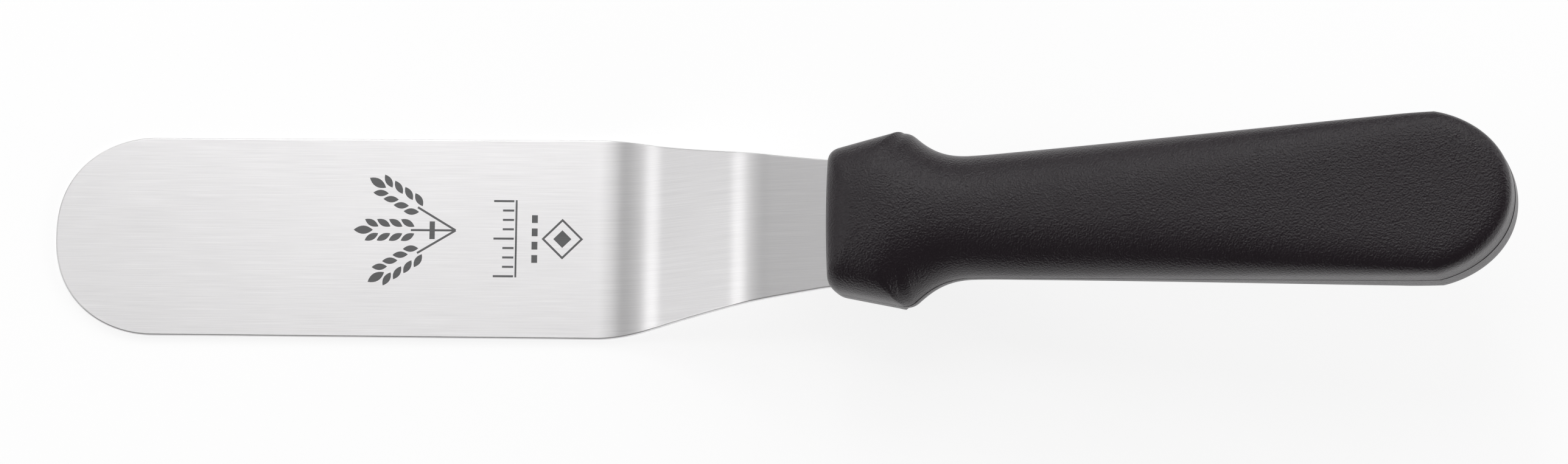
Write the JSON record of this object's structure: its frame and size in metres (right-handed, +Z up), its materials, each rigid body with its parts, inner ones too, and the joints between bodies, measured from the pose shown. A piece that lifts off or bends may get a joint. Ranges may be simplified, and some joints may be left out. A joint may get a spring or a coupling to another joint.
{
  "type": "offset spatula",
  "caption": "Offset bakery spatula: flat round-tipped steel blade, cranked neck and a moulded plastic handle that rises above the blade.",
  "frame": {"origin": "centre of the part's footprint, on the plane of the blade's underside", "axes": "+X from the blade's tip to the handle's butt, +Y across the blade, +Z up, out of the blade's upper face"},
  "size_m": [0.269, 0.0382, 0.051],
  "materials": {
    "brushed_steel": "satin, brushed along the blade",
    "black_plastic": "fine leather-like grain"
  },
  "bodies": {
    "root": {"blade": "brushed_steel", "handle": "black_plastic"}
  },
  "joints": []
}
